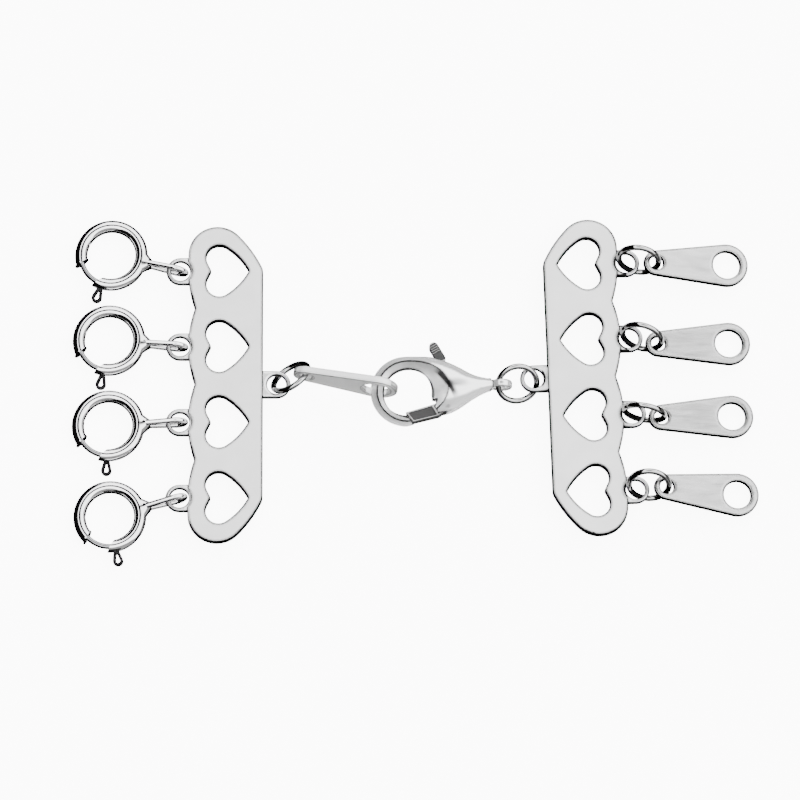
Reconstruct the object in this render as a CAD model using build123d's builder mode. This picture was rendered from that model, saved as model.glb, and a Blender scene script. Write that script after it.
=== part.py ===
from build123d import *
import os
from math import acos, asin, atan2, cos, degrees, hypot, radians, sin, sqrt

# A clasp for a four-strand bracelet: two pierced plates joined by a lobster claw.
# Millimetres. X runs along the bracelet, Y across it, Z up from the surface it lies on.

strand_count = 4

# Spring rings
spring_ring_radius = 2.49
spring_tube_radius = 0.51
spring_bore_radius = 0.28
bolt_play = 0.06
mouth_angle = 209
mouth_slant = 18
mouth_lip = 0.12
mouth_lip_thickness = 0.09
tube_end_angle = 243.7
bolt_overlap_angle = 7
bolt_tail_angle = 284
lever_angle = 266
lever_travel = 42
lever_length = 1.22
lever_eye_radius = 0.43
lever_wire = 0.26
lever_thickness = 0.30
lever_root_width = 0.34
lever_slot_play = 0.05
punch_angle = 164
punch_radius = 0.2
loop_wire = 0.45
loop_end_radius = 6.575
loop_slack_share = 0.85
loop_half_height = 1.05
loop_root_half_height = 0.5
loop_root_radius = 3.15
boss_tip_radius = 3.5
boss_half_angle = 29
ring_gap = 0.41

# Plates
plate_width = 6.15
plate_thickness = 0.8
end_margin = 3.76
end_radius = 2.4
shoulder_angle = 45
shoulder_drop = 3.64
shoulder_round = 1.0
scallop_depth = 0.55
notch_round = 0.15
plate_edge_round = 0.14
under_plate_gap = 0.1
plate_turn = 2.2

# Hearts cut through the plates
heart_tip_margin = 1.19
heart_length = 3.47
heart_lobe_radius = 1.06
heart_lobe_offset = 1.10
heart_cleft_depth = 0.42
heart_side_angle = 57
heart_corner_round = 0.18

# Ears and centre lugs of the plates
link_wire = 0.48
eyelet_play = 0.54
eyelet_wall = 0.37
eyelet_thickness = 0.66
eyelet_round = 0.25
ear_reach = 0.65
lug_reach = 1.12

# Jump rings
strand_link_radius = 1.64
left_link_radius = 1.64
right_link_radius = 1.6

# Tags
tag_hole_spacing = 5.85
tag_thickness = 0.58
tag_small_play = 0.34
tag_small_wall = 0.47
tag_big_hole_radius = 1.13
tag_big_wall = 0.65
tag_edge_round = 0.12
tag_hole_round = 0.12

# Lobster claw, in its own frame: origin at the middle of the hook, X to the end eye
hook_inner_radius = 2.05
hook_width = 0.9
hook_half_height = 1.3
hook_land = 0.3
flank_spread = 0.9
flank_shift_x = 0.2
flank_shift_y = -0.2
claw_length = 7.1
claw_half_width = 2.95
claw_half_height = 1.5
tip_inner_angle = -89
tip_outer_angle = -77
gate_gap = 0.05
gate_thickness = 0.84
gate_play = 0.06
gate_opening_angle = 18
pivot_pad_radius = 0.45
pin_radius = 0.22
pin_length = 1.7
pin_play = 0.03
pin_seat_play = 0.01
arm_width = 0.62
thumb_tab_radius = 0.39
thumb_rib_pitch = 0.19
thumb_rib_depth = 0.06
thumb_rib_count = 5
gate_panel_margin = 0.13
gate_panel_depth = 0.05
collar_radius = 0.56
collar_width = 0.3
end_eye_standoff = 0.66
end_eye_offset = 0.58
end_eye_play = 0.4
end_eye_wall = 0.26
end_eye_thickness = 0.7
end_eye_round = 0.25

# How the chain lies: turns are in degrees about the vertical, leans are the slope of a
# jump ring's plane, pitches are how steeply a tag falls away from its jump ring.
floor_gap = 0.01
spring_ring_headings = (-14.3, -6.1, 2.0, 14.6)
strand_rows = (
    # link turn, link lean, tag turn, tag pitch
    (-7.7, 68, 0.6, 10),
    (-15, 70, 2.1, 8),
    (-9.5, 84, 2.6, 8),
    (-2, 62, -4.4, 9),
)
left_link_turn = 40.6
left_link_slope = 52
left_link_angle_at_tag = 53
centre_tag_turn = -8.8
centre_tag_lean = 6
hook_angle_in_tag = 172
right_link_turn = 12
right_link_lean = 43.5
right_plate_rise = 2.6
left_lug_slack_share = 0.5
ear_slack_share = 0.62
tag_slack_share = 0.5
end_eye_slack_share = 0.65
right_lug_slack_share = 0.37
right_lug_side_share = 0.26

# Sizes that follow
strand_pitch = 2 * (spring_ring_radius + spring_tube_radius) + ring_gap
half_span = (strand_count - 1) / 2 * strand_pitch
strand_places = [half_span - number * strand_pitch for number in range(strand_count)]
half_plate_length = half_span + end_margin
plate_z = loop_wire + under_plate_gap + plate_thickness / 2
eyelet_hole = link_wire / 2 + eyelet_play
eyelet_outer = eyelet_hole + eyelet_wall
tag_small_hole = link_wire / 2 + tag_small_play
tag_small_end = tag_small_hole + tag_small_wall
tag_big_end = tag_big_hole_radius + tag_big_wall
hook_outer_radius = hook_inner_radius + hook_width
end_eye_distance = claw_length + end_eye_standoff
end_eye_hole = link_wire / 2 + end_eye_play
end_eye_outer = end_eye_hole + end_eye_wall


def polar(radius, angle):
    return Vector(radius * cos(radians(angle)), radius * sin(radians(angle)))


def placed_at(origin, turn=0, fall=0, roll=0):
    """A place turned about the vertical, then dipped along X, then rolled about X."""
    return Location(origin) * Rotation(0, 0, turn) * Rotation(0, fall, 0) * Rotation(roll, 0, 0)


def radial_plane(angle):
    """The upright plane through the vertical axis at this angle, X outward and Y up."""
    return Plane(
        origin=(0, 0, 0),
        x_dir=(cos(radians(angle)), sin(radians(angle)), 0),
        z_dir=(sin(radians(angle)), -cos(radians(angle)), 0),
    )


def rounded_hole(radius, wall, rounding):
    """Cutter for a hole along Z whose two rims are rounded."""
    reach = wall
    rim = radius + rounding
    arc_height = wall / 2 - rounding
    with BuildPart() as cutter:
        with BuildSketch(Plane.XZ):
            with BuildLine():
                Polyline((rim, -wall / 2), (rim, -reach), (0, -reach), (0, reach), (rim, reach))
                Line((rim, reach), (rim, wall / 2))
                CenterArc((rim, arc_height), rounding, 90, 90)
                Line((radius, arc_height), (radius, -arc_height))
                CenterArc((rim, -arc_height), rounding, 180, 90)
            make_face()
        revolve(axis=Axis.Z)
    return cutter.part


def flat_rims(part):
    """The edges of the highest and the lowest flat face."""
    levels = part.faces().filter_by(Axis.Z).sort_by(Axis.Z)
    return levels[0].edges() + levels[-1].edges()


def heart_sketch():
    """A heart lying along X with its tip at the origin and its lobes toward minus X."""
    lobe = Vector(heart_lobe_radius - heart_length, heart_lobe_offset)
    cleft = Vector(heart_cleft_depth - heart_length, 0)
    shoulder = lobe + polar(heart_lobe_radius, heart_side_angle)
    along_side = polar(1, heart_side_angle - 90)
    to_cleft = cleft - lobe
    leave_angle = degrees(atan2(to_cleft.Y, to_cleft.X)) % 360
    leave_angle -= degrees(acos(heart_lobe_radius / to_cleft.length))
    with BuildSketch() as heart:
        with BuildLine():
            TangentArc(shoulder, (0, 0), tangent=along_side)
            CenterArc(lobe, heart_lobe_radius, heart_side_angle, leave_angle - heart_side_angle)
            Line(lobe + polar(heart_lobe_radius, leave_angle), cleft)
            mirror(about=Plane.XZ)
        make_face()
        corners = heart.vertices().filter_by_position(Axis.Y, -0.01, 0.01)
        fillet(corners, radius=heart_corner_round)
    return heart.sketch


def plate_sketch():
    """Outline of a plate, inner long edge on X = 0, strand side toward minus X."""
    end_centre = Vector(end_radius - plate_width, half_plate_length - end_radius)
    end_leave = end_centre + polar(end_radius, shoulder_angle)
    along_shoulder = polar(1, shoulder_angle - 90)
    shoulder_y = half_plate_length - shoulder_drop
    ear_edge = -plate_width
    notch_edge = scallop_depth - plate_width
    with BuildSketch() as outline:
        with BuildLine():
            Line((0, 0), (0, shoulder_y))
            TangentArc(end_leave, (0, shoulder_y), tangent=along_shoulder)
            CenterArc(end_centre, end_radius, shoulder_angle, 180 - shoulder_angle)
            Line((ear_edge, end_centre.Y), (ear_edge, strand_places[0]))
            for place in strand_places[: strand_count // 2]:
                below = place - strand_pitch / 2
                TangentArc((ear_edge, place), (notch_edge, below), tangent=(0, -1))
            for place in strand_places[1 : strand_count // 2]:
                above = place + strand_pitch / 2
                TangentArc((ear_edge, place), (notch_edge, above), tangent=(0, 1))
            mirror(about=Plane.XZ)
        make_face()
        notches = outline.vertices().filter_by_position(
            Axis.X, notch_edge - 0.01, notch_edge + 0.01
        )
        fillet(notches, radius=notch_round)
        inner_corners = outline.vertices().filter_by_position(Axis.X, -0.01, 0.01).sort_by(Axis.Y)
        fillet([inner_corners[0], inner_corners[-1]], radius=shoulder_round)
    return outline.sketch


def eyelet(reach):
    """A rounded flat ring on a straight neck that runs back into the plate, toward plus X."""
    with BuildPart() as ring:
        with BuildSketch():
            Circle(eyelet_outer)
            Rectangle(
                reach + eyelet_round + plate_edge_round,
                2 * eyelet_outer,
                align=(Align.MIN, Align.CENTER),
            )
        extrude(amount=eyelet_thickness / 2, both=True)
        fillet(flat_rims(ring.part), radius=eyelet_round)
    return ring.part


def make_plate(label):
    ear_places = [Location((-plate_width - ear_reach, y, 0)) for y in strand_places]
    lug_place = Location((lug_reach, 0, 0), (0, 0, 180))
    heart_places = [(-heart_tip_margin, y) for y in strand_places]
    outline = plate_sketch()
    heart = heart_sketch()
    hole = rounded_hole(eyelet_hole, eyelet_thickness, eyelet_round)
    with BuildPart() as plate:
        with BuildSketch():
            add(outline)
            with Locations(heart_places):
                add(heart, mode=Mode.SUBTRACT)
        extrude(amount=plate_thickness / 2, both=True)
        fillet(flat_rims(plate.part), radius=plate_edge_round)
        with Locations(ear_places):
            add(eyelet(ear_reach))
        with Locations(lug_place):
            add(eyelet(lug_reach))
        with Locations(ear_places + [lug_place]):
            add(hole, mode=Mode.SUBTRACT)
    plate.part.label = label
    return plate.part


def make_link(radius):
    with BuildPart() as link:
        Torus(radius, link_wire / 2)
    return link.part


def make_tag():
    """A tapered tag along X, small hole at the origin, big hole at the far end."""
    with BuildPart() as tag:
        with BuildSketch():
            Circle(tag_small_end)
            with Locations((tag_hole_spacing, 0)):
                Circle(tag_big_end)
            make_hull()
        extrude(amount=tag_thickness / 2, both=True)
        fillet(flat_rims(tag.part), radius=tag_edge_round)
        add(rounded_hole(tag_small_hole, tag_thickness, tag_hole_round), mode=Mode.SUBTRACT)
        with Locations((tag_hole_spacing, 0, 0)):
            add(
                rounded_hole(tag_big_hole_radius, tag_thickness, tag_hole_round),
                mode=Mode.SUBTRACT,
            )
    return tag.part


def ring_stretch(radius, start_angle, arc_angle):
    """A round bar of this radius bent along the spring ring's circle."""
    with BuildPart() as bar:
        with BuildSketch(radial_plane(start_angle)):
            with Locations((spring_ring_radius, 0)):
                Circle(radius)
        revolve(axis=Axis.Z, revolution_arc=arc_angle)
    return bar.part


def soldered_loop():
    """The upright wire loop, its two strands running from the boss round the far bend."""
    bend_radius = loop_half_height - loop_wire / 2
    bend_centre = Vector(loop_end_radius - loop_half_height, 0)
    root = Vector(loop_root_radius, loop_root_half_height)
    to_root = root - bend_centre
    touch_angle = degrees(atan2(to_root.Y, to_root.X))
    touch_angle -= degrees(acos(bend_radius / to_root.length))
    touch = bend_centre + polar(bend_radius, touch_angle)
    with BuildPart() as loop:
        with BuildLine(Plane.XZ) as path:
            Line((root.X, root.Y), (touch.X, touch.Y))
            ThreePointArc(
                (touch.X, touch.Y),
                (bend_centre.X + bend_radius, 0),
                (touch.X, -touch.Y),
            )
            Line((touch.X, -touch.Y), (root.X, -root.Y))
        with BuildSketch(Plane(origin=path.line @ 0, z_dir=path.line % 0)):
            Circle(loop_wire / 2)
        sweep(path=path.line)
    return loop.part


def solder_boss():
    """The wedge of solder between the ring and its loop."""
    base_radius = spring_ring_radius + spring_tube_radius * 0.3
    base_x = base_radius * cos(radians(boss_half_angle))
    with BuildPart() as boss:
        with BuildSketch(Plane.YZ.offset(base_x)):
            Ellipse(base_radius * sin(radians(boss_half_angle)), spring_tube_radius * 0.85)
        with BuildSketch(Plane.YZ.offset(boss_tip_radius)):
            Ellipse(loop_wire * 0.62, loop_root_half_height + loop_wire * 0.35)
        loft(ruled=True)
    return boss.part


def mouth_place():
    """Where the tube stops at the mouth, Z along the tube and turned by the slant."""
    at = polar(spring_ring_radius, mouth_angle)
    return Location(at) * Rotation(0, 0, mouth_angle + mouth_slant) * Rotation(-90, 0, 0)


def make_spring_ring():
    """Spring ring in its own frame: ring in XY, soldered loop toward plus X."""
    body_arc = 360 - tube_end_angle + mouth_angle
    lip = mouth_place()
    trim = 4 * spring_tube_radius
    slot_half_angle = degrees((lever_root_width / 2 + lever_slot_play) / spring_ring_radius)
    slot_height = lever_thickness + 2 * lever_slot_play
    with BuildPart() as ring:
        add(ring_stretch(spring_tube_radius, tube_end_angle, body_arc + mouth_slant))
        with Locations(lip):
            Box(trim, trim, trim, align=(Align.CENTER, Align.CENTER, Align.MIN), mode=Mode.SUBTRACT)
            Cylinder(
                spring_tube_radius + mouth_lip,
                mouth_lip_thickness,
                align=(Align.CENTER, Align.CENTER, Align.MAX),
            )
        add(solder_boss())
        add(soldered_loop())
        add(
            ring_stretch(spring_bore_radius, tube_end_angle - 1, body_arc + mouth_slant),
            mode=Mode.SUBTRACT,
        )
        with BuildSketch(radial_plane(lever_angle - slot_half_angle)):
            with Locations((spring_ring_radius + spring_tube_radius, 0)):
                Rectangle(2 * spring_tube_radius, slot_height)
        revolve(
            axis=Axis.Z,
            revolution_arc=lever_travel + 2 * slot_half_angle,
            mode=Mode.SUBTRACT,
        )
        with Locations(polar(spring_ring_radius - spring_tube_radius, punch_angle)):
            Sphere(punch_radius, mode=Mode.SUBTRACT)
    return ring.part


def make_spring_bolt():
    """The curved bolt wire and its drop-shaped lever, in the spring ring's frame."""
    start = mouth_angle - bolt_overlap_angle
    wire_radius = spring_bore_radius - bolt_play
    outer = spring_ring_radius + spring_tube_radius
    eye_centre = outer + lever_length - lever_eye_radius
    with BuildPart() as bolt:
        add(ring_stretch(wire_radius, start, bolt_tail_angle - start))
        with BuildSketch(Plane(origin=(0, 0, 0), x_dir=polar(1, lever_angle), z_dir=(0, 0, 1))):
            with BuildSketch(mode=Mode.PRIVATE) as blade:
                with Locations((eye_centre, 0)):
                    Circle(lever_eye_radius)
                with Locations((outer - spring_tube_radius / 2, 0)):
                    Circle(lever_root_width / 2)
                make_hull()
            with BuildSketch(mode=Mode.PRIVATE) as window:
                with Locations((eye_centre, 0)):
                    Circle(lever_eye_radius - lever_wire)
                with Locations((outer + lever_wire, 0)):
                    Circle(lever_root_width / 8)
                make_hull()
            add(blade.sketch)
            add(window.sketch, mode=Mode.SUBTRACT)
            with Locations((spring_ring_radius + wire_radius / 2, 0)):
                Rectangle(outer - spring_ring_radius, lever_root_width)
        extrude(amount=lever_thickness / 2, both=True)
    return bolt.part


hook_share = hook_half_height / claw_half_height
# Stations round the far half of the hook, which is half an ellipsoid: distances from its
# middle, as shares of claw_half_width.
hook_stations = (0.999, 0.985, 0.94, 0.85, 0.68, 0.45, 0.22)
# Stations along the lobster claw, from the middle of the hook to the neck.
# Columns: distance, centre offset, half width, half height, as shares of
# claw_length, claw_half_width, claw_half_width and claw_half_height.
claw_stations = (
    (0.000, 0.000, 1.000, hook_share),
    (0.140, 0.055, 0.945, 0.905),
    (0.255, 0.100, 0.890, 0.945),
    (0.370, 0.115, 0.820, 0.985),
    (0.485, 0.098, 0.735, 1.000),
    (0.600, 0.098, 0.600, 0.940),
    (0.715, 0.115, 0.425, 0.790),
    (0.830, 0.150, 0.280, 0.620),
    (0.925, 0.180, 0.200, 0.480),
    (1.000, 0.190, 0.150, 0.400),
)
tip_inner = polar(hook_inner_radius, tip_inner_angle)
tip_outer = polar(hook_outer_radius, tip_outer_angle)
throat_top = Vector(0.99 * hook_inner_radius, -0.10 * hook_inner_radius)
root_inner = Vector(1.05 * hook_inner_radius, -0.585 * hook_inner_radius)
root_outer = Vector(1.30 * hook_inner_radius, -1.04 * hook_inner_radius)
pivot = Vector(0.47 * claw_length, -0.585 * hook_inner_radius)
elbow = Vector(1.40 * hook_inner_radius, 1.27 * hook_inner_radius)
thumb = Vector(1.09 * hook_inner_radius, 1.80 * hook_inner_radius)


def heading_of(vector):
    return degrees(atan2(vector.Y, vector.X))


def gate_tip():
    """The two corners of the gate's free end, a small gap off the hook's tip."""
    along_tip = (tip_outer - tip_inner).normalized()
    off_tip = Vector(-along_tip.Y, along_tip.X)
    inner = tip_inner - along_tip * hook_width * 0.22 + off_tip * gate_gap
    outer = tip_outer - along_tip * hook_width * 0.25 + off_tip * gate_gap
    return inner, outer


def lever_sketch(extra):
    """Gate, pivot pad, arm and thumb tab in one outline, grown all round by extra."""
    gate_inner, gate_outer = gate_tip()
    pad_low = pivot - Vector(0, pivot_pad_radius)
    pad_high = pivot + Vector(0, pivot_pad_radius)
    arm = elbow - pivot
    tab = thumb - elbow
    with BuildSketch() as outline:
        with BuildLine():
            Polyline(gate_inner, gate_outer, root_outer, pad_low, pad_high, root_inner, close=True)
        make_face()
        with Locations(pivot):
            Circle(pivot_pad_radius)
        with Locations(Location(pivot, (0, 0, heading_of(arm)))):
            Rectangle(arm.length, arm_width, align=(Align.MIN, Align.CENTER))
        with Locations(elbow):
            Circle(arm_width / 2)
        with Locations(Location(elbow, (0, 0, heading_of(tab)))):
            Rectangle(tab.length, 2 * thumb_tab_radius, align=(Align.MIN, Align.CENTER))
        with Locations(thumb):
            Circle(thumb_tab_radius)
        if extra:
            offset(amount=extra)
    return outline.sketch


def make_lobster_body():
    """Lobster claw body with its hook, the slot for the lever and the end eye."""
    stations = [
        (-share * claw_half_width, 0, sqrt(1 - share**2), sqrt(1 - share**2) * hook_share)
        for share in hook_stations
    ]
    stations += [
        (along * claw_length, shift * claw_half_width, width, height)
        for along, shift, width, height in claw_stations
    ]
    flank_height = 2 * claw_half_height
    flank_top = hook_inner_radius + flank_height * flank_spread
    flank_middle = Location((flank_shift_x, flank_shift_y, 0))
    outward = 3 * hook_width
    along_tip = (tip_outer - tip_inner).normalized()
    along_root = (root_outer - root_inner).normalized()
    slot = lever_sketch(gate_play)
    collar_x = claw_length - collar_width
    swing = [gate_opening_angle * share / 3 for share in range(4)]
    eye_place = Location((end_eye_distance, end_eye_offset, 0), (90, 0, 0))
    with BuildPart() as disc:
        Cylinder(end_eye_outer, end_eye_thickness)
        fillet(flat_rims(disc.part), radius=end_eye_round)
    with BuildPart() as collar:
        Cylinder(collar_radius, collar_width)
        fillet(flat_rims(collar.part), radius=collar_width / 3)
    with BuildPart() as body:
        for distance, offset, width, height in stations:
            across = Plane(origin=(distance, offset, 0), x_dir=(0, 1, 0), z_dir=(1, 0, 0))
            with BuildSketch(across):
                Ellipse(width * claw_half_width, height * claw_half_height)
        loft()
        Cylinder(hook_inner_radius, hook_land, mode=Mode.SUBTRACT)
        for turn in (0, 180):
            with Locations(flank_middle * Rotation(turn, 0, 0) * Location((0, 0, hook_land / 2))):
                Cone(
                    hook_inner_radius,
                    flank_top,
                    flank_height,
                    align=(Align.CENTER, Align.CENTER, Align.MIN),
                    mode=Mode.SUBTRACT,
                )
        with BuildSketch():
            with BuildLine():
                Polyline(
                    throat_top,
                    root_inner,
                    root_outer,
                    root_outer + along_root * outward,
                    tip_outer + along_tip * outward,
                    tip_outer,
                    tip_inner,
                    (0, 0),
                    close=True,
                )
            make_face()
        extrude(amount=flank_height, both=True, mode=Mode.SUBTRACT)
        with BuildSketch():
            for angle in swing:
                with Locations(Location(pivot) * Rotation(0, 0, -angle) * Location(-pivot)):
                    add(slot)
        extrude(amount=gate_thickness / 2 + gate_play, both=True, mode=Mode.SUBTRACT)
        with Locations(pivot):
            Cylinder(pin_radius + pin_seat_play, pin_length + 2 * pin_seat_play, mode=Mode.SUBTRACT)
        with Locations(Location((collar_x, end_eye_offset, 0), (0, 90, 0))):
            add(collar.part)
        with Locations(eye_place):
            add(disc.part)
            add(rounded_hole(end_eye_hole, end_eye_thickness, end_eye_round), mode=Mode.SUBTRACT)
    body.part.label = "lobster_body"
    return body.part


def make_lobster_lever():
    outline = lever_sketch(0)
    thumb_angle = heading_of(thumb - elbow)
    gate_inner, gate_outer = gate_tip()
    with BuildSketch() as panel:
        with BuildLine():
            Polyline(gate_inner, gate_outer, root_outer, root_inner, close=True)
        make_face()
        offset(amount=-gate_panel_margin)
    with BuildPart() as lever:
        with BuildSketch():
            add(outline)
        extrude(amount=gate_thickness / 2, both=True)
        with Locations(pivot):
            Cylinder(pin_radius + pin_play, 2 * gate_thickness, mode=Mode.SUBTRACT)
        for side in (-1, 1):
            with BuildSketch(Plane.XY.offset(side * gate_thickness / 2)):
                add(panel.sketch)
            extrude(amount=-side * gate_panel_depth, mode=Mode.SUBTRACT)
            for rib in range(thumb_rib_count):
                place = thumb + polar((1 - rib) * thumb_rib_pitch, thumb_angle)
                corner = (place.X, place.Y, side * gate_thickness / 2)
                with Locations(Location(corner, (0, 0, thumb_angle))):
                    Box(
                        thumb_rib_pitch / 2,
                        3 * thumb_tab_radius,
                        2 * thumb_rib_depth,
                        mode=Mode.SUBTRACT,
                    )
    lever.part.label = "lobster_lever"
    return lever.part


def make_lobster_pin():
    with BuildPart() as pin:
        with Locations(pivot):
            Cylinder(pin_radius, pin_length)
    pin.part.label = "lobster_pin"
    return pin.part


class LyingLink:
    """A jump ring that stands on the surface: its level diameter lies at turn, and its
    other one slopes up by lean."""

    def __init__(self, radius, turn, lean):
        self.radius = radius
        self.turn = turn
        self.lean = lean
        self.centre_z = radius * sin(radians(lean)) + link_wire / 2 + floor_gap

    def wire(self, angle):
        """From the centre to the wire at this angle."""
        level = Vector(cos(radians(self.turn)), sin(radians(self.turn)), 0)
        slope = Vector(-level.Y, level.X, 0) * cos(radians(self.lean))
        slope += Vector(0, 0, sin(radians(self.lean)))
        return (level * cos(radians(angle)) + slope * sin(radians(angle))) * self.radius

    def wire_at(self, height, far):
        """From the centre to the wire where it is at this height, on the near or far side."""
        angle = degrees(asin((height - self.centre_z) / (self.radius * sin(radians(self.lean)))))
        return self.wire(180 - angle if far else angle)

    def place(self, centre):
        return placed_at((centre.X, centre.Y, self.centre_z), turn=self.turn, roll=self.lean)


def unit_level(vector):
    return Vector(vector.X, vector.Y, 0).normalized()


# Where everything lies, from the left plate along the centre line to the right plate.
left_plate_place = Location((0, 0, plate_z))
left_lug = Vector(lug_reach, 0, plate_z)

left_link = LyingLink(left_link_radius, left_link_turn, 180 - left_link_slope)
at_left_lug = left_link.wire_at(plate_z, far=True)
left_link_centre = left_lug - at_left_lug
left_link_centre += unit_level(at_left_lug) * left_lug_slack_share * eyelet_play
left_link_place = left_link.place(left_link_centre)

centre_tag_small = left_link_place.position + left_link.wire(left_link_angle_at_tag)
centre_tag_drop = centre_tag_small.Z - tag_big_end - floor_gap
centre_tag_pitch = degrees(asin(centre_tag_drop / tag_hole_spacing))
centre_tag_place = placed_at(
    centre_tag_small, turn=centre_tag_turn, fall=centre_tag_pitch, roll=90 - centre_tag_lean
)
centre_tag_big = (centre_tag_place * Location((tag_hole_spacing, 0, 0))).position

hook_middle_radius = hook_inner_radius + hook_width / 2
lobster_z = claw_half_height + floor_gap
hook_centre = centre_tag_big - polar(hook_middle_radius, hook_angle_in_tag)
lobster_place = Location((hook_centre.X, hook_centre.Y, lobster_z))
end_eye = Vector(hook_centre.X + end_eye_distance, hook_centre.Y + end_eye_offset, lobster_z)

right_plate_reach = ear_reach + plate_width + lug_reach
right_lug_z = plate_z + right_plate_reach * sin(radians(right_plate_rise))
right_link = LyingLink(right_link_radius, right_link_turn, right_link_lean)
at_eye = right_link.wire_at(lobster_z, far=True)
at_right_lug = right_link.wire_at(right_lug_z, far=False)
right_link_centre = end_eye - at_eye + unit_level(at_eye) * end_eye_slack_share * end_eye_play
right_link_place = right_link.place(right_link_centre)
outward = unit_level(at_right_lug)
sideways = Vector(-outward.Y, outward.X, 0)
right_lug = right_link_centre + at_right_lug
right_lug -= outward * right_lug_slack_share * eyelet_play
right_lug += sideways * right_lug_side_share * eyelet_play
right_plate_place = placed_at(
    (right_lug.X, right_lug.Y, right_lug_z), turn=180 + plate_turn, fall=-right_plate_rise
) * Location((-lug_reach, 0, 0))


def ear_centre(plate_place, number):
    """Middle of a strand ear, numbered from the far side in both plates."""
    local = (-plate_width - ear_reach, strand_places[number], 0)
    return (plate_place * Location(local)).position


# A spring ring rests on the far side of its tube and on the underside of its loop.
loop_bend_distance = loop_end_radius - loop_half_height
ring_dip = degrees(
    asin((loop_half_height - spring_tube_radius) / (loop_bend_distance + spring_ring_radius))
)
spring_ring_z = (
    spring_tube_radius + floor_gap + spring_ring_radius * sin(radians(ring_dip))
)
loop_slack = loop_slack_share * (eyelet_hole - loop_wire / 2)


def spring_ring_place(number):
    turn = spring_ring_headings[number]
    reach = (loop_end_radius - loop_wire / 2) * cos(radians(ring_dip)) - loop_slack
    ear = ear_centre(left_plate_place, number)
    centre = Vector(ear.X, ear.Y, 0) - polar(reach, turn) + Vector(0, 0, spring_ring_z)
    return placed_at(centre, turn=turn, fall=-ring_dip)


def strand_places_of(number):
    """Places of a strand's jump ring and of its tag, hung from the right plate."""
    link_turn, link_lean, tag_turn, tag_pitch = strand_rows[number]
    link = LyingLink(strand_link_radius, link_turn, link_lean)
    ear = ear_centre(right_plate_place, strand_count - 1 - number)
    big_z = tag_big_end * sin(radians(tag_pitch)) + tag_thickness / 2 * cos(radians(tag_pitch))
    small_z = big_z + tag_hole_spacing * sin(radians(tag_pitch)) + floor_gap
    at_ear = link.wire_at(ear.Z, far=True)
    at_tag = link.wire_at(small_z, far=False)
    centre = ear - at_ear + unit_level(at_ear) * ear_slack_share * eyelet_play
    small_hole = centre + at_tag - unit_level(at_tag) * tag_slack_share * tag_small_play
    tag_place = placed_at((small_hole.X, small_hole.Y, small_z), turn=tag_turn, fall=tag_pitch)
    return link.place(centre), tag_place


def build_all():
    """Every piece in its place, by name."""
    plate = make_plate("plate")
    strand_link = make_link(strand_link_radius)
    tag = make_tag()
    spring_ring = make_spring_ring()
    spring_bolt = make_spring_bolt()
    pieces = {
        "left_plate": plate.moved(left_plate_place),
        "right_plate": plate.moved(right_plate_place),
        "centre_link_left": make_link(left_link_radius).moved(left_link_place),
        "centre_link_right": make_link(right_link_radius).moved(right_link_place),
        "centre_tag": tag.moved(centre_tag_place),
        "lobster_body": make_lobster_body().moved(lobster_place),
        "lobster_lever": make_lobster_lever().moved(lobster_place),
        "lobster_pin": make_lobster_pin().moved(lobster_place),
    }
    for number in range(strand_count):
        link_place, tag_place = strand_places_of(number)
        ring_place = spring_ring_place(number)
        pieces[f"strand_link_{number + 1}"] = strand_link.moved(link_place)
        pieces[f"strand_tag_{number + 1}"] = tag.moved(tag_place)
        pieces[f"spring_ring_{number + 1}"] = spring_ring.moved(ring_place)
        pieces[f"spring_bolt_{number + 1}"] = spring_bolt.moved(ring_place)
    return pieces


pieces = build_all()

# The whole clasp stands with the middle of its underside at the origin.
boxes = [piece.bounding_box() for piece in pieces.values()]
low_x, high_x = min(box.min.X for box in boxes), max(box.max.X for box in boxes)
low_y, high_y = min(box.min.Y for box in boxes), max(box.max.Y for box in boxes)
lowest = min(box.min.Z for box in boxes)
to_origin = Location((-(low_x + high_x) / 2, -(low_y + high_y) / 2, -lowest))

os.makedirs("parts", exist_ok=True)
for name, piece in pieces.items():
    placed = piece.moved(to_origin)
    placed.label = name
    export_step(placed, f"parts/{name}.step")
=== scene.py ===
import bpy
from math import cos, radians, sin
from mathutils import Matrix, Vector

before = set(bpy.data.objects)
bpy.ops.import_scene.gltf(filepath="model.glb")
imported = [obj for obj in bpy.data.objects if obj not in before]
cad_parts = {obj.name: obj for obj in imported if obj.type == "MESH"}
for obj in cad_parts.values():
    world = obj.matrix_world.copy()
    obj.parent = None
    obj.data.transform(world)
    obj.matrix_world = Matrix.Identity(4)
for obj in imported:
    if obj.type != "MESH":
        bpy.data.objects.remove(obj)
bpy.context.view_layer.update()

MM = 0.001

# Camera
CAMERA_DISTANCE = 1.0
CAMERA_ELEVATION = 75
SENSOR_WIDTH = 36
NEAREST_SEEN = 0.01
FARTHEST_SEEN = 10
PHOTO_SIZE = 800
PIXELS_PER_MM = 12.2
# The photo's middle in the frame: across the picture, and along the floor away from the camera.
AIM_X = -1.225 * MM
AIM_Y = -0.4 * MM

# Floor
FLOOR_SIZE = 3
FLOOR_DROP = 0.02 * MM
FLOOR_GLOW = 9.0
FLOOR_ROUGHNESS = 0.9
FLOOR_GRAIN = 900.0
FLOOR_TONES = (0.95, 0.98)

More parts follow.
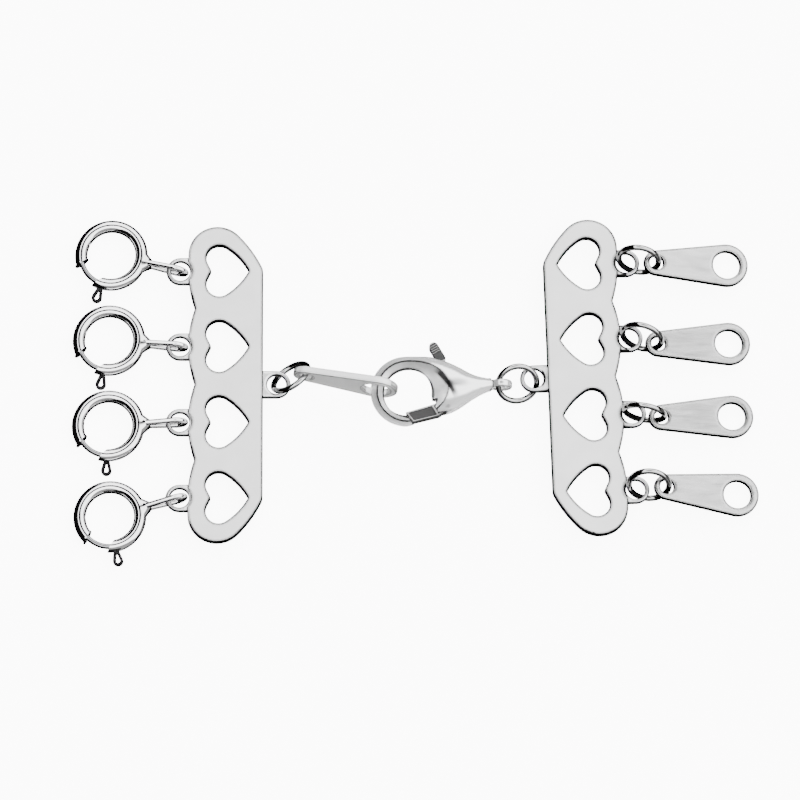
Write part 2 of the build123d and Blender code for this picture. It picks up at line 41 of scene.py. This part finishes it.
# Surroundings, as the metal mirrors them: brightness by height, then soft cards laid over it in
# turn, then the dark underside.
SKY = (
    (-0.3, 0.05),
    (0.18, 0.05),
    (0.33, 4.5),
)
CARDS = (
    # towards, degrees to where it starts to fade, degrees to where it ends, brightness
    ((0, -1, 0), 54, 58, 0.45),
    ((0, -1, 0), 18, 22, 0.02),
    ((1, 0, -0.3), 36, 41, 0.01),
    ((1, 0, -0.3), 22, 26, 0.30),
    ((-0.94, 0, -0.34), 80, 84, 0.006),
    ((0, 0.26, 0.97), 15.5, 17, 0.006),
    ((0.31, 0.25, 0.92), 5, 8, 1.1),
)
UNDERSIDE_TOP = -0.3
UNDERSIDE_SOFTNESS = 0.05
UNDERSIDE = 0.005

# Tones of the metals
PALE = (0.93, 0.93, 0.93)
BRIGHT = (0.95, 0.95, 0.955)
DULL = (0.74, 0.74, 0.74)
GREY = (0.6, 0.6, 0.6)
# Painted shade: the links' silver, set this dark as a shaded copy of the silver.
DARK = (0.45, 0.45, 0.45)
STEEL = (0.30, 0.30, 0.31)
# Painted shade: near black, for the claw gate's sunk panels and thumb arm.
PAINTED_SHADE_BLACK = (0.06, 0.06, 0.06)

# Polishing marks: how much finer they are across than along, where their noise turns from smooth
# to worn, what part of the roughness they take and add, and how deep they look.
STREAK_LENGTHENING = 0.08
MARK_SPREAD = (0.25, 0.75)
MARK_SMOOTHING = 0.3
MARK_WEAR = 0.5
MARK_STRENGTH = 0.05
MARK_DEPTH = 0.02 * MM
# Clouding: its noise's fineness, where it turns from dim to clear, and how dim full clouding is.
CLOUD_FINENESS = 420.0
CLOUD_SPREAD = (0.3, 0.7)
CLOUD_DIMMING = 0.2
# How far a rounded edge's normal leans (as a cosine) where the painted shade is full, and where it is clear.
EDGE_DARK = 0.965
EDGE_CLEAR = 0.99
# Painted shade: how dark the painted outline along the edges gets.
EDGE_PAINTED_SHADE = 0.03
EDGE_SAMPLES = 8
# The degrees over which painted shade darkens a face that leans from level, and how dark it gets.
LEAN_FADE = 10
LEAN_PAINTED_SHADE = 0.02

# The painted shade of a crescent between the claw's belly and flank, in mm: its arc's centre and its
# middle, the distances from the centre where it starts, is full, ends and is gone, and how far it reaches.
CRESCENT_CENTRE = (-4.63, -4.65)
CRESCENT_MIDDLE = (2.6, 0.4)
CRESCENT_BAND = (8.55, 8.75, 8.9, 9.3)
CRESCENT_ENDS = (0.9, 1.7)
CRESCENT_PAINTED_SHADE = 0.03
# The soft painted shade on the belly: its middle in mm, how its distances are weighed, where it fades.
SHADE_CENTRE = (3.5, 0.35)
SHADE_STRETCH = (0.8, 1.9)
SHADE_FADE = (0.2, 1.0)
SHADE_TONE = 0.45

# Where each plate's flat middle starts and ends across; its ears and its lug lie outside.
PLATE_SIDES = {
    "left_plate": (-18.35 * MM, -12.4 * MM),
    "right_plate": (10.4 * MM, 17.4 * MM),
}
# Faces whose normal points up by more than this belong to the centre tag's upper edge: a painted highlight.
RIM_LEVEL = 0.7
# Painted shade: the gate's sunk panels and its thumb arm are painted nearly black.
# The gate's sunk panels, which lie level, and where its ribbed thumb arm starts and ends along.
PANEL_LEVEL = 0.9
PANEL_DEPTH = 0.05 * MM
THUMB_ARM = (2.1 * MM, 3.05 * MM)


def node_material(name):
    material = bpy.data.materials.new(name)
    material.use_nodes = True
    tree = material.node_tree
    shader = tree.nodes["Principled BSDF"]
    return material, tree, shader


def feed(tree, socket, value):
    """Gives a socket its value, or links it where the value is another node's socket."""
    if isinstance(value, bpy.types.NodeSocket):
        tree.links.new(value, socket)
    else:
        socket.default_value = value


def linked(tree, kind, **inputs):
    """A node of this kind; each named input is a value, or a socket that is linked in."""
    node = tree.nodes.new(kind)
    for name, value in inputs.items():
        feed(tree, node.inputs[name.replace("_", " ")], value)
    return node


def vector_math(tree, operation, *values):
    node = tree.nodes.new("ShaderNodeVectorMath")
    node.operation = operation
    for socket, value in zip(node.inputs, values):
        feed(tree, socket, value)
    return node


def ramp(tree, factor, stops):
    """A colour ramp over greys: stops are pairs of position and brightness."""
    node = tree.nodes.new("ShaderNodeValToRGB")
    tree.links.new(factor, node.inputs["Fac"])
    for element, (position, grey) in zip(node.color_ramp.elements, stops):
        element.position = position
        element.color = (grey, grey, grey, 1)
    return node.outputs["Color"]


def multiplied(tree, one, other):
    """One colour times the other."""
    node = tree.nodes.new("ShaderNodeMix")
    node.data_type = "RGBA"
    node.blend_type = "MULTIPLY"
    node.inputs["Factor"].default_value = 1
    # A mix node keeps its colours' sockets at 6 and 7, and their outcome at 2.
    feed(tree, node.inputs[6], one)
    feed(tree, node.inputs[7], other)
    return node.outputs[2]


def steps(tree, value, start, end):
    """0 below start, 1 above end, with a soft step between."""
    node = linked(tree, "ShaderNodeMapRange", Value=value, From_Min=start, From_Max=end)
    node.interpolation_type = "SMOOTHSTEP"
    return node.outputs["Result"]


def blend(tree, factor, under, over):
    """From the number under, where the factor is 0, to the number over, where it is 1."""
    node = tree.nodes.new("ShaderNodeMix")
    # A mix node keeps its factor at 0 and its plain numbers' sockets at 2 and 3.
    feed(tree, node.inputs[0], factor)
    feed(tree, node.inputs[2], under)
    feed(tree, node.inputs[3], over)
    return node.outputs[0]


def polishing_marks(tree, place, streaks, turn):
    """A noise of fine lines, streaks to the metre across them and turned by turn degrees."""
    turned = linked(
        tree,
        "ShaderNodeMapping",
        Vector=place,
        Rotation=(0, 0, radians(turn)),
        Scale=(streaks * STREAK_LENGTHENING, streaks, streaks),
    )
    noise = linked(
        tree, "ShaderNodeTexNoise", Vector=turned.outputs[0], Scale=1.0, Detail=6.0, Roughness=0.6
    )
    return noise.outputs["Fac"]


def painted_edge_shade(tree, rounded, facing):
    """Painted shade along the edges, where the rounded normal leans away from the face's own."""
    bend = vector_math(tree, "DOT_PRODUCT", rounded, facing).outputs["Value"]
    return ramp(tree, bend, ((EDGE_DARK, EDGE_PAINTED_SHADE), (EDGE_CLEAR, 1.0)))


def painted_lean_shade(tree, facing, flat):
    """Painted shade where a face leans from level by more than flat degrees."""
    height = linked(tree, "ShaderNodeSeparateXYZ", Vector=facing).outputs["Z"]
    level = tree.nodes.new("ShaderNodeMath")
    level.operation = "ABSOLUTE"
    feed(tree, level.inputs[0], height)
    clear = cos(radians(flat))
    dark = cos(radians(flat + LEAN_FADE))
    return ramp(tree, level.outputs[0], ((dark, LEAN_PAINTED_SHADE), (clear, 1.0)))


def silver(name, tone, gloss, streaks=3500, turn=20, clouding=0.35, marks=1, metal=1, edge=0, flat=0):
    """Silver with fine polishing marks and faint clouding; gloss is its roughness.
    With edge, a band of about that width gets painted shade along its edges. With flat too, in degrees,
    its edges also look rounded, and painted shade darkens it where it leans further from level than that."""
    material, tree, shader = node_material(name)
    place = tree.nodes.new("ShaderNodeTexCoord").outputs["Object"]
    facing = tree.nodes.new("ShaderNodeNewGeometry").outputs["Normal"]
    marking = polishing_marks(tree, place, streaks, turn)
    bump = linked(
        tree, "ShaderNodeBump", Height=marking, Strength=MARK_STRENGTH * marks, Distance=MARK_DEPTH
    )

    clouds = linked(tree, "ShaderNodeTexNoise", Vector=place, Scale=CLOUD_FINENESS, Detail=3.0)
    tones = (1 - clouding * CLOUD_DIMMING, 1.0)
    shade = ramp(tree, clouds.outputs["Fac"], zip(CLOUD_SPREAD, tones))
    colour = multiplied(tree, (*tone, 1), shade)
    if edge:
        rounded = linked(tree, "ShaderNodeBevel", Radius=edge)
        rounded.samples = EDGE_SAMPLES
        # Painted shade: a dark band painted along the edges.
        colour = multiplied(tree, colour, painted_edge_shade(tree, rounded.outputs["Normal"], facing))
        if flat:
            feed(tree, bump.inputs["Normal"], rounded.outputs["Normal"])
            # Painted shade: dark where the face leans from level.
            colour = multiplied(tree, colour, painted_lean_shade(tree, facing, flat))

    finish = (gloss * (1 - MARK_SMOOTHING * marks), gloss * (1 + MARK_WEAR * marks))
    feed(tree, shader.inputs["Metallic"], metal)
    feed(tree, shader.inputs["Base Color"], colour)
    feed(tree, shader.inputs["Roughness"], ramp(tree, marking, zip(MARK_SPREAD, finish)))
    feed(tree, shader.inputs["Normal"], bump.outputs["Normal"])
    return material


def away(tree, place, centre, stretch=(1, 1)):
    """How far a place is from an upright axis, in mm; stretch weighs across and along."""
    moved = vector_math(tree, "SUBTRACT", place, (centre[0] * MM, centre[1] * MM, 0))
    weights = (stretch[0] / MM, stretch[1] / MM, 0)
    weighed = vector_math(tree, "MULTIPLY", moved.outputs[0], weights)
    return vector_math(tree, "LENGTH", weighed.outputs[0]).outputs["Value"]


def shade_belly(material):
    """Painted shade: a dark crescent where the claw's belly meets its flank, and a soft shade on the belly.
    """
    tree = material.node_tree
    shader = tree.nodes["Principled BSDF"]
    place = tree.nodes.new("ShaderNodeTexCoord").outputs["Object"]
    out = away(tree, place, CRESCENT_CENTRE)
    along = away(tree, place, CRESCENT_MIDDLE)
    starts, full, ends, gone = CRESCENT_BAND
    dark = blend(tree, steps(tree, out, starts, full), 0.0, 1.0)
    dark = blend(tree, steps(tree, out, ends, gone), dark, 0.0)
    dark = blend(tree, steps(tree, along, *CRESCENT_ENDS), dark, 0.0)
    # Painted shade: the crescent darkens the colour.
    crescent = blend(tree, dark, 1.0, CRESCENT_PAINTED_SHADE)
    out = away(tree, place, SHADE_CENTRE, SHADE_STRETCH)
    # Painted shade: a soft dark patch on the belly.
    soft = blend(tree, steps(tree, out, *SHADE_FADE), SHADE_TONE, 1.0)
    colour = shader.inputs["Base Color"].links[0].from_socket
    colour = multiplied(tree, multiplied(tree, colour, crescent), soft)
    feed(tree, shader.inputs["Base Color"], colour)


def dress_pieces():
    """Each piece gets the material of the first word here that its name holds."""
    lever_silver = silver("lever_silver", GREY, 0.4, streaks=2600, turn=60, edge=0.1 * MM)
    lobster_silver = silver(
        "lobster_silver",
        BRIGHT,
        0.2,
        streaks=900,
        turn=10,
        clouding=0.05,
        marks=0.2,
        metal=0.72,
        edge=0.3 * MM,
    )
    shade_belly(lobster_silver)
    materials = {
        "plate": silver("plate_silver", PALE, 0.5, streaks=2600, turn=90, marks=0.3, edge=0.4 * MM, flat=8),
        "centre_tag": silver(
            "upright_silver", GREY, 0.36, streaks=2600, turn=0, marks=0.3, metal=0.8, edge=0.35 * MM
        ),
        "tag": silver("tag_silver", DULL, 0.22, streaks=2600, turn=0, edge=0.4 * MM, flat=15),
        "lobster_lever": lever_silver,
        "lobster_pin": lever_silver,
        "lobster_body": lobster_silver,
        # Painted shade: the links get a darker copy of the silver.
        "link": silver("wire_silver", DARK, 0.05),
        "bolt": silver("bolt_steel", STEEL, 0.12, edge=0.12 * MM),
        "spring_ring": silver("mirror_silver", BRIGHT, 0.06),
    }
    for name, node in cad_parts.items():
        word = next(word for word in materials if word in name)
        node.data.materials.clear()
        node.data.materials.append(materials[word])


def repaint(mesh, material, chosen):
    """Gives the faces that chosen picks a second material."""
    mesh.materials.append(material)
    for face in mesh.polygons:
        if chosen(face):
            face.material_index = 1


def dress_plate_ends():
    """The plates' ears and lugs are rounder and shinier than the flat between them."""
    ear_silver = silver("ear_silver", BRIGHT, 0.36, streaks=2600, turn=90, marks=0.3, edge=0.2 * MM, flat=42)
    for name, (left, right) in PLATE_SIDES.items():
        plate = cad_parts[name].data
        repaint(plate, ear_silver, lambda face: not left < face.center.x < right)


def paint_tag_rim_highlight():
    """The upright tag's upper edge, which faces up, gets a painted highlight: a brighter silver than its
    faces.
    """
    # Painted highlight: a brighter, less metallic silver for the tag's faces that point up.
    rim_painted_highlight = silver(
        "rim_painted_highlight", BRIGHT, 0.36, streaks=2600, turn=0, marks=0.3, metal=0.4, edge=0.2 * MM
    )
    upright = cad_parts["centre_tag"].data
    repaint(upright, rim_painted_highlight, lambda face: face.normal.z > RIM_LEVEL)


def dress_gate():
    """The claw's gate has painted shade: a sunk panel on both faces, and dark ribs on its thumb tab."""
    panel_painted_shade = silver("panel_painted_shade", PAINTED_SHADE_BLACK, 0.5, streaks=9000, turn=60)
    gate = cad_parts["lobster_lever"].data
    heights = [corner.co.z for corner in gate.vertices]
    top = max(heights)
    bottom = min(heights)

    def in_painted_shade(face):
        depth = min(top - face.center.z, face.center.z - bottom)
        sunk = abs(face.normal.z) > PANEL_LEVEL and depth > PANEL_DEPTH / 2
        return sunk or THUMB_ARM[0] < face.center.y < THUMB_ARM[1]

    repaint(gate, panel_painted_shade, in_painted_shade)


def make_floor():
    """A pale floor that glows a little, as a light table does, and that the metal doesn't mirror."""
    bpy.ops.mesh.primitive_plane_add(size=FLOOR_SIZE, location=(0, 0, -FLOOR_DROP))
    floor = bpy.context.object
    floor.name = "floor"
    floor.visible_glossy = False
    material, tree, shader = node_material("floor_white")
    place = tree.nodes.new("ShaderNodeTexCoord").outputs["Object"]
    grain = linked(tree, "ShaderNodeTexNoise", Vector=place, Scale=FLOOR_GRAIN)
    white = ramp(tree, grain.outputs["Fac"], zip((0.0, 1.0), FLOOR_TONES))
    feed(tree, shader.inputs["Base Color"], white)
    feed(tree, shader.inputs["Roughness"], FLOOR_ROUGHNESS)
    feed(tree, shader.inputs["Emission Color"], (1, 1, 1, 1))
    feed(tree, shader.inputs["Emission Strength"], FLOOR_GLOW)
    floor.data.materials.append(material)


def make_surroundings():
    """A bright sky with dark and pale cards in it, over a dark underside."""
    world = bpy.data.worlds.new("surroundings")
    bpy.context.scene.world = world
    world.use_nodes = True
    tree = world.node_tree
    place = tree.nodes.new("ShaderNodeTexCoord").outputs["Generated"]
    height = linked(tree, "ShaderNodeSeparateXYZ", Vector=place).outputs["Z"]
    light = SKY[0][1]
    for (low, _), (high, brightness) in zip(SKY, SKY[1:]):
        light = blend(tree, steps(tree, height, low, high), light, brightness)
    for direction, full, gone, brightness in CARDS:
        toward = vector_math(tree, "DOT_PRODUCT", place, Vector(direction).normalized())
        inside = steps(tree, toward.outputs["Value"], cos(radians(gone)), cos(radians(full)))
        light = blend(tree, inside, light, brightness)
    above = steps(tree, height, UNDERSIDE_TOP - UNDERSIDE_SOFTNESS, UNDERSIDE_TOP + UNDERSIDE_SOFTNESS)
    light = blend(tree, above, UNDERSIDE, light)
    background = tree.nodes["Background"]
    feed(tree, background.inputs["Color"], (1, 1, 1, 1))
    feed(tree, background.inputs["Strength"], light)


def make_camera():
    """A long view from the front and above, like the photo's."""
    camera = bpy.data.cameras.new("camera")
    camera.sensor_width = SENSOR_WIDTH
    field = PHOTO_SIZE / PIXELS_PER_MM * MM
    camera.lens = SENSOR_WIDTH * CAMERA_DISTANCE / field
    camera.clip_start = NEAREST_SEEN
    camera.clip_end = FARTHEST_SEEN
    eye = bpy.data.objects.new("camera", camera)
    bpy.context.scene.collection.objects.link(eye)
    slope = radians(CAMERA_ELEVATION)
    back = Vector((0, -cos(slope), sin(slope)))
    eye.location = Vector((AIM_X, AIM_Y, 0)) + back * CAMERA_DISTANCE
    eye.rotation_mode = "QUATERNION"
    eye.rotation_quaternion = (-back).to_track_quat("-Z", "Y")
    bpy.context.scene.camera = eye


dress_pieces()
dress_plate_ends()
paint_tag_rim_highlight()
dress_gate()
make_floor()
make_surroundings()
make_camera()
